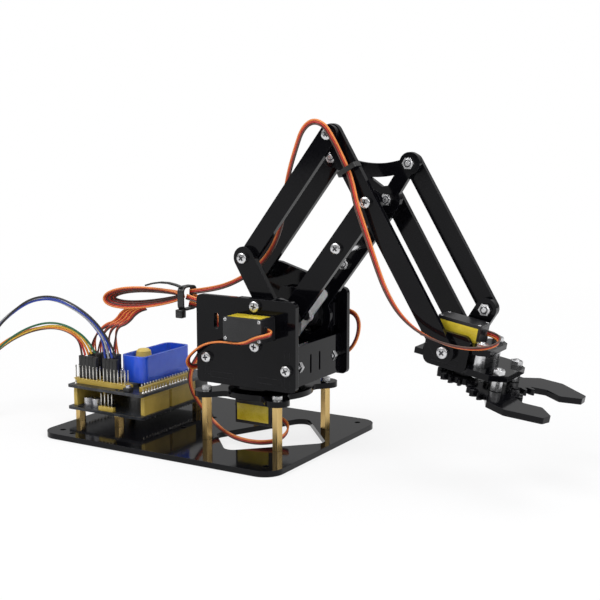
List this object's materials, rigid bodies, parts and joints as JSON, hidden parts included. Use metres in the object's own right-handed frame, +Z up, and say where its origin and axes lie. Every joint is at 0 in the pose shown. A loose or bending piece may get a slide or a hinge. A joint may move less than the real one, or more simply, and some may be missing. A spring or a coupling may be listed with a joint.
{
  "type": "robot arm",
  "caption": "Desktop robot arm of dark sheet plates on a base plate: turning turret, double parallelogram arm, geared gripper and controller stack.",
  "frame": {"origin": "middle of the base plate's corner holes on its underside", "axes": "+X forward along the arm at rest, +Y to its left, +Z up"},
  "size_m": [0.3558, 0.1344, 0.1719],
  "materials": {
    "acrylic": "gloss",
    "brass": "satin",
    "screw_steel": "satin",
    "servo_plastic": "satin",
    "board": "satin",
    "port_shell": "satin",
    "header_yellow": "satin",
    "plug_black": "satin",
    "horn_white": "satin",
    "shell_blue": "gloss",
    "module_yellow": "satin",
    "lead_insulation": "satin"
  },
  "bodies": {
    "base": {"base_plate": "acrylic", "base_pillars": "brass", "base_screws": "screw_steel", "servo_plate": "acrylic", "base_servo": "servo_plastic", "controller_board": "board", "board_ports": "port_shell", "board_headers": "header_yellow", "shield_board": "board", "shield_pins": "header_yellow", "plug_housings": "plug_black", "receiver_shell": "shell_blue", "receiver_module": "module_yellow", "base_servo_lead": "lead_insulation", "lead_hank": "lead_insulation", "lead_tails": "lead_insulation", "jumper_upper": "lead_insulation", "jumper_lower": "lead_insulation", "jumper_plugs": "plug_black"},
    "turret": {"turret_disc": "acrylic", "turret_horn": "horn_white", "floor_plate": "acrylic", "front_panel": "acrylic", "rear_panel": "acrylic", "side_panel_near": "acrylic", "side_panel_far": "acrylic", "servo_collars": "acrylic", "turret_bolts": "screw_steel", "servo_near": "servo_plastic", "servo_far": "servo_plastic", "fixed_pivot_bolt": "screw_steel", "near_servo_lead": "lead_insulation", "far_servo_lead": "lead_insulation", "gripper_lead_rear": "lead_insulation"},
    "upper_arm": {"upper_arm_near": "acrylic", "upper_arm_far": "acrylic", "shoulder_horn": "horn_white", "arm_bolts": "screw_steel"},
    "elbow_lever": {"elbow_lever": "acrylic", "elbow_horn": "horn_white"},
    "lever_bolt_body": {"lever_bolt": "screw_steel"},
    "drive_link_body": {"drive_link": "acrylic"},
    "rear_link_body": {"rear_level_link": "acrylic"},
    "triangle_body": {"level_triangle": "acrylic", "triangle_bolts": "screw_steel"},
    "front_link_body": {"front_level_link": "acrylic"},
    "forearm": {"forearm_near": "acrylic", "forearm_far": "acrylic", "forearm_bolt": "screw_steel", "forearm_tie": "plug_black", "gripper_lead_front": "lead_insulation"},
    "gripper": {"gripper_top_plate": "acrylic", "gripper_lower_plate": "acrylic", "gripper_brackets": "acrylic", "gripper_servo": "servo_plastic", "gripper_bolts": "screw_steel"},
    "drive_gear_body": {"drive_gear": "acrylic"},
    "jaw_near_body": {"jaw_near": "acrylic"},
    "jaw_far_body": {"jaw_far": "acrylic"}
  },
  "joints": [
    {"name": "base_yaw", "type": "hinge", "parent": "base", "child": "turret", "pos_m": [0.0345, 0.003, 0], "axis": [0, 0, 1], "range_deg": [-90, 90], "deforming": ["near_servo_lead", "far_servo_lead", "base_servo_lead", "gripper_lead_rear"]},
    {"name": "shoulder", "type": "hinge", "parent": "turret", "child": "upper_arm", "pos_m": [0.0515, 0.003, 0.0675], "axis": [0, -1, 0], "range_deg": [-28, 30]},
    {"name": "elbow_drive", "type": "hinge", "parent": "turret", "child": "elbow_lever", "pos_m": [0.0515, 0.003, 0.0675], "axis": [0, -1, 0], "range_deg": [-5, 45]},
    {"name": "lever_pivot", "type": "hinge", "parent": "elbow_lever", "child": "lever_bolt_body", "pos_m": [0.03167, 0.003, 0.1005], "axis": [0, -1, 0], "range_deg": [-45, 5]},
    {"name": "drive_link_pivot", "type": "hinge", "parent": "lever_bolt_body", "child": "drive_link_body", "pos_m": [0.03167, 0.003, 0.1005], "axis": [0, -1, 0], "range_deg": [-28, 30]},
    {"name": "rear_link_pivot", "type": "hinge", "parent": "turret", "child": "rear_link_body", "pos_m": [0.0195, 0.003, 0.0884], "axis": [0, -1, 0], "range_deg": [-28, 30]},
    {"name": "triangle_pivot", "type": "hinge", "parent": "upper_arm", "child": "triangle_body", "pos_m": [0.09964, 0.003, 0.13139], "axis": [0, -1, 0], "range_deg": [-30, 28]},
    {"name": "elbow", "type": "hinge", "parent": "triangle_body", "child": "forearm", "pos_m": [0.09964, 0.003, 0.13139], "axis": [0, -1, 0], "range_deg": [-5, 45]},
    {"name": "front_link_pivot", "type": "hinge", "parent": "triangle_body", "child": "front_link_body", "pos_m": [0.11164, 0.003, 0.14989], "axis": [0, -1, 0], "range_deg": [-5, 45]},
    {"name": "wrist", "type": "hinge", "parent": "forearm", "child": "gripper", "pos_m": [0.14188, 0.003, 0.0611], "axis": [0, -1, 0], "range_deg": [-45, 5], "deforming": ["gripper_lead_front"]},
    {"name": "grip", "type": "hinge", "parent": "gripper", "child": "drive_gear_body", "pos_m": [0.14693, 0.0063, 0.04711], "axis": [-0.1736, 0, -0.9848], "range_deg": [-8, 28]},
    {"name": "near_jaw_pivot", "type": "hinge", "parent": "gripper", "child": "jaw_near_body", "pos_m": [0.16739, -0.0057, 0.04351], "axis": [-0.1736, 0, -0.9848], "range_deg": [-28, 8]},
    {"name": "far_jaw_pivot", "type": "hinge", "parent": "gripper", "child": "jaw_far_body", "pos_m": [0.16739, 0.0183, 0.04351], "axis": [-0.1736, 0, -0.9848], "range_deg": [-8, 28]}
  ],
  "couplings": [
    {"joint": "lever_pivot", "follows": "elbow_drive", "ratio": -1},
    {"joint": "drive_link_pivot", "follows": "shoulder", "ratio": 1},
    {"joint": "rear_link_pivot", "follows": "shoulder", "ratio": 1},
    {"joint": "triangle_pivot", "follows": "shoulder", "ratio": -1},
    {"joint": "elbow", "follows": "elbow_drive", "ratio": 1},
    {"joint": "front_link_pivot", "follows": "elbow_drive", "ratio": 1},
    {"joint": "wrist", "follows": "elbow_drive", "ratio": -1},
    {"joint": "near_jaw_pivot", "follows": "grip", "ratio": -1},
    {"joint": "far_jaw_pivot", "follows": "grip", "ratio": 1}
  ]
}
